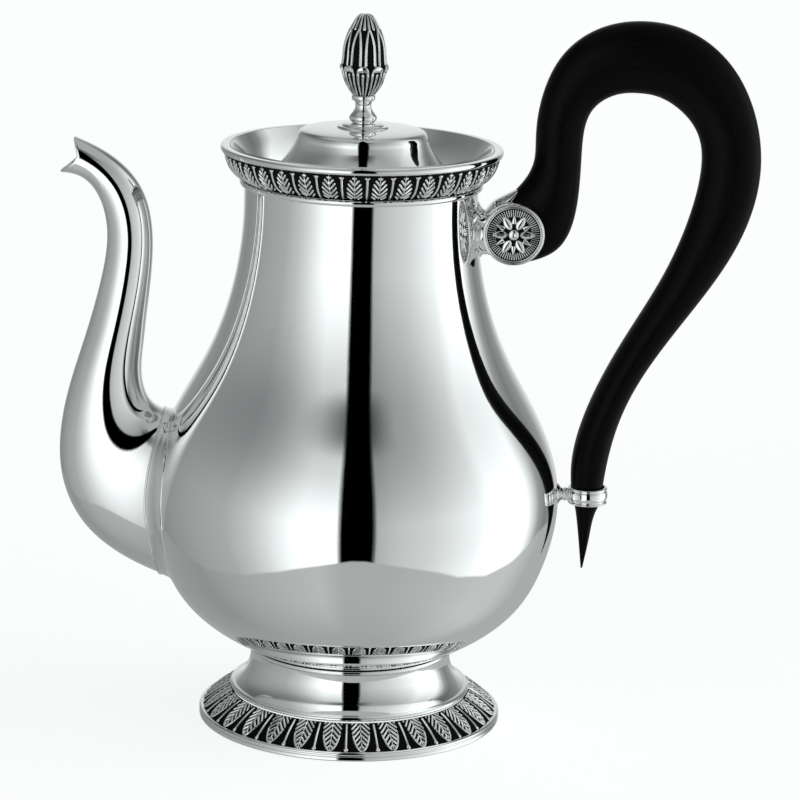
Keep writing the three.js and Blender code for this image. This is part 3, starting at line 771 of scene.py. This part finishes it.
def rosette_height(q, angle):
    """Height of the cap at a share q of its radius: a dome, six broad petals, six small, a reeded ring."""
    off_petal = np.abs((angle / TAU * 6 + 0.5) % 1 - 0.5) * 2
    half_arc = q * TAU / 12
    dome = ridge(q, 0.18) - 0.3 * ridge(q, 0.06)

    side = off_petal * half_arc
    t = np.clip((q - 0.2) / 0.48, 0, 1)
    width = 0.135 * np.sin(np.pi * t ** 0.9) ** 0.6
    domed = 0.3 + 0.7 * ridge(side, np.maximum(width, 0.01))
    petal = inside_of(width - side, 0.03) * domed * (q > 0.2) * (q < 0.68)
    vein = 0.85 * ridge(side, 0.022) * inside_of(0.56 - q, 0.05) * inside_of(q - 0.3, 0.05)
    petal = petal * (1 - vein)

    side = (1 - off_petal) * half_arc
    u = np.clip((q - 0.38) / 0.27, 0, 1)
    width = np.maximum(0.08 * (1 - u ** 2.2), 0.01)
    small = inside_of(width - side, 0.03) * (0.4 + 0.6 * ridge(side, width)) * (q > 0.36) * (q < 0.65)
    flower = np.maximum(petal, 0.85 * small)

    reeds = (0.5 + 0.5 * np.cos(ROSETTE_REEDS * angle)) ** 0.8
    reeds = reeds * inside_of(q - 0.58, 0.04) * inside_of(0.83 - q, 0.03) * 0.6
    reeds = reeds * (1 - inside_of(flower - 0.08, 0.05))
    thin_line = 0.8 * ridge(q - 0.875, 0.026)
    rim = ridge(q - 0.955, 0.05)
    return np.maximum.reduce([dome, flower, reeds, thin_line, rim])


def make_rosette(name, node, side):
    """The chased cap on the socket's near end (side -1) or far end (side 1)."""
    low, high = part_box(node)
    face_y = max(abs(low.y), abs(high.y)) / MM
    inset, depth, edge_depth = 0.35, 0.9, 1.2
    columns = 4 * ROSETTE_REEDS
    radii = np.concatenate([np.linspace(0, SOCKET_R - 0.1, 84), [SOCKET_R]])
    angle = np.arange(columns) * TAU / columns
    rr, aa = np.meshgrid(radii, angle, indexing="ij")
    h = np.clip(rosette_height(rr / SOCKET_R, aa), 0, 1)
    h[0] = h[0, 0]
    y = side * (face_y - inset - depth * (1 - h))
    y[-1] = side * (face_y - edge_depth)
    face = np.stack([SOCKET_X + rr * np.cos(aa), y, SOCKET_Z + rr * np.sin(aa)], -1)
    back_r = np.array([SOCKET_R, SOCKET_R * 0.5, 0])[:, None]
    back_y = side * (SOCKET_WIDTH / 2 + 0.05)
    back = np.stack([SOCKET_X + back_r * np.cos(angle), back_y + 0 * back_r * angle,
                     SOCKET_Z + back_r * np.sin(angle)], -1)
    relief = np.concatenate([h, np.ones((len(back_r), columns))])
    build(name, grid(np.concatenate([face, back]), False, True), "pot", OXIDISED, "oxidised_silver", node,
          relief=relief, crease=180)


def make_collar():
    h = COLLAR_H / 2
    outline = rounded([(6.2, -h), (6.9, -h, 0.4), (7.35, -h + 0.55, 0.5), (6.7, -h + 1.1, 0.2),
                       (7.1, -h + 1.5, 0.5), (7.45, 0, 2.2), (7.1, h - 1.5, 0.5), (6.7, h - 1.1, 0.2),
                       (7.35, h - 0.55, 0.5), (6.9, h, 0.4), (6.2, h)], 0.15)
    p = turned(outline, SMALL_ROUND)
    p[..., 0] += COLLAR_X
    p[..., 2] += COLLAR_Z
    silver_piece("grip_collar", grid(p, True, True), "pot", "lower_collar")

    profile = rounded([(0, 71.5), (4.2, 71.5), (3.9, 74.6, 0.6), (2.4, 75.6, 1.2), (2.1, 76.4, 0.4),
                       (2.6, 77.2, 0.6), (2.2, 78, 0.4), (2.4, 79, 1.0), (3.2, 80.3), (0, 80.3)], 0.3)
    silver_piece("knuckle", grid(turned_about_x(profile, LINK_Z), True, True), "pot", "lower_link")


make_handle()
make_socket()
make_rosette("rosette_front", "rosette_near", -1)
make_rosette("rosette_back", "rosette_far", 1)
make_collar()


# ------------------------------------------------------------------ lid and finial
def make_lid():
    top = np.array([(STUD_HOLE_R, 218.6), (6, 218.57), (12, 218.4), (17, 218.12), (19.8, 217.85)])
    shoulder = rounded([(19.8, 217.85, 0), (21.7, 217.5, 0.9), (22.3, 216.2, 0.9), (22.45, 215.2, 0)],
                       0.5, 8)[1:-1]
    skirt = curve([(22.45, 215.2), (23.3, 213), (24.9, 210.2), (28.2, 205.9), (33, 202.2),
                   (38.2, 200.45)], 36)
    outside = np.concatenate([respace(top, 10), shoulder, skirt])
    under = (outside - WALL * sideways(outside))[::-1]
    under[-1] = (STUD_HOLE_R, 217.6)
    brim = [(39.2, 200.25), (39.6, 199.9), (39.6, 199.2), (39.2, 198.9)]
    turned_piece("lid_dome", np.concatenate([outside, brim, under])[::-1], "lid", "lid_cover")
    turned_piece("lid_bezel_ring", rounded(
        [(35.2, 192), (36.3, 192, 0.4), (36.3, 199), (35.2, 199.3)], 0.2), "lid", "lid_bezel")


def make_finial():
    turned_piece("finial_rosette", rounded(
        [(STUD_HOLE_R, 218.85), (9.3, 218.85, 0.3), (9.4, 219.6, 0.6), (8.7, 220.2, 0.5), (7.6, 220.05, 0.4),
         (7.3, 220.6, 0.4), (5.9, 221, 0.5), (STUD_HOLE_R, 221.15)], 0.3, 6),
        "lid", "finial_base", columns=SMALL_ROUND)
    waist = curve([(4.3, 221.6), (5, 222.8), (3.8, 224.9), (2.85, 227.1), (3.1, 228.8)], 24)
    knop = rounded([(3.1, 228.8, 0), (4.25, 229.5, 0.5), (4.25, 230.9, 0.6), (3.3, 231.5, 0.4),
                    (STUD_HOLE_R, 231.5, 0)], 0.3)
    outline = np.concatenate([[(STUD_HOLE_R, 221.2), (3.9, 221.2)], waist, knop])
    turned_piece("finial_stem_turning", outline, "lid", "finial_stem", columns=SMALL_ROUND)


def make_bud():
    """A closed bud: a lower tier of curled leaves, an upper tier of pointed ones, and a fluted cap."""
    each, rows = 30, 150
    columns = FINIAL_LEAVES * each
    core = curve([(3.8, 231.65), (5.9, 234.7), (7.25, 238), (7.75, 240.4), (7.7, 242.2), (7.45, 244.2),
                  (7.25, 247), (6.55, 250.8), (5.15, 254.4), (3.5, 257.4), (2, 259.2), (0.02, 259.8)], rows)
    angle = np.arange(columns) * TAU / columns + math.radians(7.6)
    low_a, z = np.meshgrid(off_midrib(FINIAL_LEAVES, each), core[:, 1])
    high_a = 1 - low_a

    b = (z - BUD_LOW_Z) / BUD_LOW_H
    width = leaf_half_width(b, widest=0.86, at=0.6, tip=0.985, power=3.0)
    blade = inside_of(width - low_a, 0.12) * (b < 1.02)
    low_rim = ridge(low_a - (width - 0.17), 0.18) * (b < 0.86)
    low_rib = ridge(low_a, 0.17) * inside_of(0.72 - b, 0.06)
    curl = blade * ridge(b - 0.89, 0.12)
    low_tier = np.maximum.reduce([0.15 * blade, low_rim * blade, 0.9 * low_rib])
    low_tier = low_tier * inside_of(0.99 - b, 0.03)

    c = np.clip((z - BUD_HIGH_Z) / BUD_HIGH_H, 0, 1)
    width = 0.8 * (1 - c ** 4.5) ** 0.75
    high_rim = ridge(high_a - (width - 0.17), 0.19) * (c > 0) * (c < 0.995)
    chasing = 0.2 + 0.12 * np.cos(z * 4.3) * np.cos(high_a * 9)
    hollow = inside_of(width - high_a, 0.1) * chasing * (c < 1)
    behind_low = blade * (b < 0.99)
    high_tier = np.maximum(high_rim, hollow) * inside_of(z - 242.2, 0.4) * (1 - behind_low)

    ribs = (0.5 + 0.5 * np.cos((np.arange(columns) % each) / each * 2 * TAU))[None, :]
    crown = ease((z - 258.8) / 1.2)
    cap = ribs * inside_of(z - BUD_CAP_Z, 0.8) * (1 - 0.4 * crown) + 0.5 * crown

    h = np.maximum.reduce([low_tier, high_tier, cap, curl])
    push = 0.55 * h + 0.5 * curl
    out = sideways(core)
    face_r = core[:, :1] + out[:, :1] * push
    face_z = np.minimum(core[:, 1:] + out[:, 1:] * push, TOP_Z)
    face_r[-1] = 0
    face_z[-1] = face_z[-1].min()
    base_r = np.array([0, 2, 3.5])[:, None]
    points = np.concatenate([about_axis(base_r, angle, BUD_BOTTOM_Z), about_axis(face_r, angle, face_z)])
    relief = np.concatenate([np.zeros((len(base_r), columns)), np.maximum(h, curl)])
    build("finial_bud_leaves", grid(points, False, True), "lid", OXIDISED, "oxidised_silver",
          "finial_bud", relief=relief, crease=180)


make_lid()
make_finial()
make_bud()


# ------------------------------------------------------------------ small hidden fittings kept from the CAD
for node in ("socket_pin", "collar_dowel", "finial_stud", "finial_washer", "finial_nut"):
    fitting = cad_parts[node]
    fitting.data.materials.clear()
    fitting.data.materials.append(SILVER)


# ------------------------------------------------------------------ studio
def make_floor():
    """White paper lit from within, which the silver does not mirror."""
    mesh = bpy.data.meshes.new("studio_floor")
    half = 30.0
    corners = [(-half, -half, 0), (half, -half, 0), (half, half, 0), (-half, half, 0)]
    mesh.from_pydata(corners, [], [(0, 1, 2, 3)])
    material, g = new_material("studio_paper")
    where = g.node("ShaderNodeTexCoord").outputs["Object"]
    fibre = g.noise(where, 400.0, 3.0)
    colour = g.mix(fibre, (0.84, 0.84, 0.84), (0.88, 0.88, 0.88))
    g.surface(Base_Color=colour, Roughness=0.9, Specular_IOR_Level=0.0,
              Emission_Color=(1, 1, 1, 1), Emission_Strength=0.66)
    mesh.materials.append(material)
    floor = bpy.data.objects.new("studio_floor", mesh)
    bpy.context.scene.collection.objects.link(floor)
    floor.visible_glossy = False


def make_world():
    """What the silver mirrors: pale cards all round with a black gap beside the camera, even grey
    overhead, a dark patch high above the camera, and a grey table below an uneven horizon. The
    camera itself sees white. Bearings are in degrees from the camera's side, positive to the right.
    """
    world = bpy.data.worlds.new("studio")
    bpy.context.scene.world = world
    world.use_nodes = True
    g = Graph(world.node_tree)
    direction = g.node("ShaderNodeTexCoord").outputs["Generated"]
    axes = g.node("ShaderNodeSeparateXYZ", {0: direction}).outputs
    bearing = g.math("ARCTAN2", axes[0], g.math("MULTIPLY", axes[1], -1.0))
    around = g.math("ADD", g.math("DIVIDE", bearing, TAU), 0.5)
    rise = g.math("ADD", g.math("DIVIDE", g.math("ARCSINE", axes[2]), math.pi), 0.5)

    def height(degrees):
        return degrees / 180 + 0.5

    def by_bearing(*stops):
        return g.ramp(around, [(degrees / 360 + 0.5, shade) for degrees, shade in stops])

    def by_height(*stops, smooth=False):
        return g.ramp(rise, [(height(degrees), shade) for degrees, shade in stops], smooth)

    cards = by_bearing(
        (-180, 0.85), (-165, 0.7), (-155, 0.3), (-140, 0.25), (-100, 0.35), (-75, 0.41), (-60, 0.55),
        (-50, 0.71), (-36, 1.02), (-27, 1.2), (-8.3, 1.2), (-6.3, 0.0), (12.4, 0.0), (13.2, 0.44),
        (26, 0.56), (45, 0.67), (60, 0.82), (75, 1.0), (85, 1.25), (112, 1.25), (119, 0.8),
        (127, 0.34), (136, 0.22), (150, 0.3), (168, 0.75), (180, 0.85))
    side = by_bearing((-130, 0.0), (-80, 0.35), (-30, 0.5), (20, 1.0), (120, 1.0), (150, 0.5))
    fall_left = by_height((3, 1.0), (11, 0.93), (21, 0.74), (31, 0.54), (41, 0.42), (50, 0.38))
    fall_right = by_height((3, 1.0), (11, 0.9), (21, 0.78), (31, 0.66), (41, 0.55), (50, 0.48))
    walls = g.blend("MULTIPLY", cards, g.mix(side, fall_left, fall_right))
    overhead = by_height((38, 0.0), (62, 1.0), smooth=True)
    gap = by_bearing((-8.3, 1.0), (-6.3, 0.0), (12.4, 0.0), (13.2, 1.0))
    walls = g.mix(overhead, walls, g.blend("MULTIPLY", gap, (0.4, 0.4, 0.4)))
    ahead = by_bearing((-48, 0.0), (-28, 0.5), (-9, 1.0), (13, 1.0), (32, 0.0))
    patch = by_height((37, 0.0), (45, 0.75), (50, 0.75), (62, 0.0), smooth=True)
    walls = g.mix(g.math("MULTIPLY", ahead, patch), walls, (0.0, 0.0, 0.0))

    table = by_bearing(
        (-180, 0.42), (-150, 0.33), (-110, 0.29), (-75, 0.38), (-45, 0.45), (-20, 0.5), (-4, 0.41),
        (25, 0.42), (60, 0.48), (90, 0.56), (112, 0.56), (135, 0.42), (180, 0.42))
    table = g.mix(by_height((-80, 0.0), (-50, 1.0)), (0.38, 0.38, 0.38), table)
    horizon = by_bearing(*[(degrees, height(dip)) for degrees, dip in (
        (-180, -12), (-135, -22), (-100, -35), (-70, -38), (-45, -35.5), (-20, -30), (0, -25.2),
        (8, -25.2), (25, -28.8), (45, -32.5), (70, -36.5), (92, -35), (110, -29), (130, -19),
        (180, -12))])
    softness = 1.4  # degrees over which the table's edge turns into wall
    above = g.math("MULTIPLY", g.math("SUBTRACT", rise, horizon), 180 / softness, clamp=True)
    light = g.mix(above, table, walls)
    tint = g.blend("MULTIPLY", light, (0.955, 1.0, 1.0))
    seen = g.node("ShaderNodeLightPath").outputs["Is Camera Ray"]
    colour = g.mix(seen, tint, (1.0, 1.0, 1.0))
    background = g.node("ShaderNodeBackground", {"Color": colour, "Strength": 1.0})
    g.node("ShaderNodeOutputWorld", {"Surface": background.outputs[0]})


def make_camera():
    """A long lens a little above the rim, turned slightly on its own axis."""
    pitch, roll = math.radians(13.65), math.radians(1.56)
    aim = Vector((AXIS_X + 15.9 * MM, 0, 119.7 * MM))
    distance = 1271.9 * MM
    forward = Vector((0, math.cos(pitch), -math.sin(pitch)))
    level_up = Vector((0, math.sin(pitch), math.cos(pitch)))
    level_right = Vector((1, 0, 0))
    right = level_right * math.cos(roll) + level_up * math.sin(roll)
    up = level_up * math.cos(roll) - level_right * math.sin(roll)
    data = bpy.data.cameras.new("camera")
    data.sensor_width = 36
    data.lens = 157.5
    data.clip_start, data.clip_end = 0.05, 100
    camera = bpy.data.objects.new("camera", data)
    turn = Matrix((right, up, -forward)).transposed()
    camera.matrix_world = Matrix.Translation(aim - forward * distance) @ turn.to_4x4()
    bpy.context.scene.collection.objects.link(camera)
    bpy.context.scene.camera = camera


make_floor()
make_world()
make_camera()
bpy.context.scene.view_settings.view_transform = "Standard"
